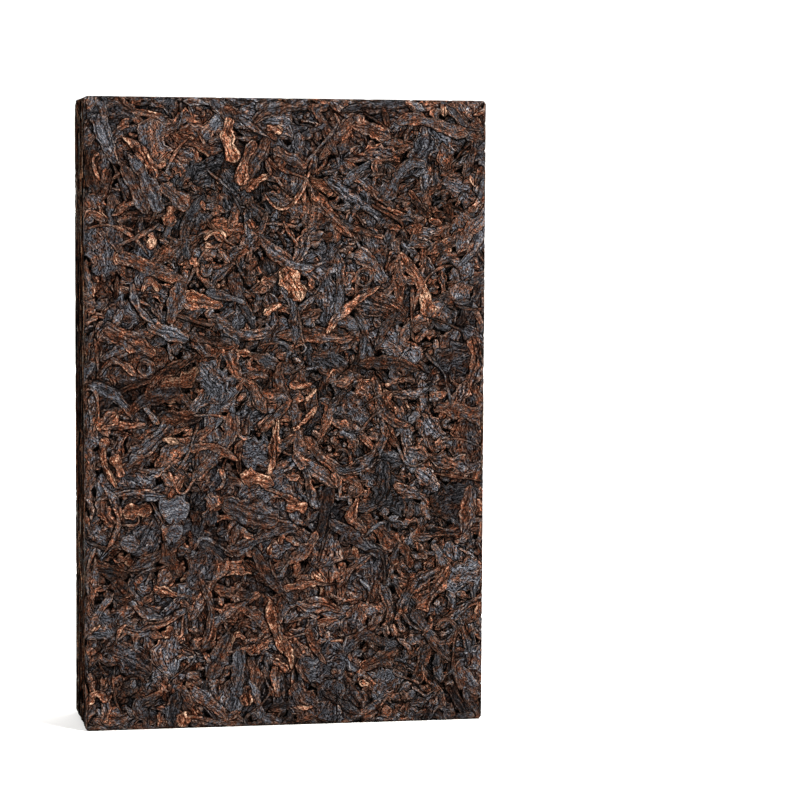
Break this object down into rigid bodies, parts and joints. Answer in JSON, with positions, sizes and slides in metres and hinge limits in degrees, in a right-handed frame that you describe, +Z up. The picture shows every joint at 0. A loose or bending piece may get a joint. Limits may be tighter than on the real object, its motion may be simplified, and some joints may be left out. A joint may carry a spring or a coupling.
{
  "type": "pu erh tea brick",
  "caption": "Rectangular brick of ripe tea leaves pressed into one hard block, with leaf relief on the faces and layered sides.",
  "frame": {"origin": "middle of the flat bottom end that the brick stands on", "axes": "+Z up along the brick's height, -Y out of the broad front face, X across its width"},
  "size_m": [0.0897, 0.025, 0.1398],
  "materials": {
    "pressed_tea": "satin pressed tea leaf, near black to rust brown"
  },
  "bodies": {
    "root": {"pressed_tea_brick": "pressed_tea"}
  },
  "joints": []
}
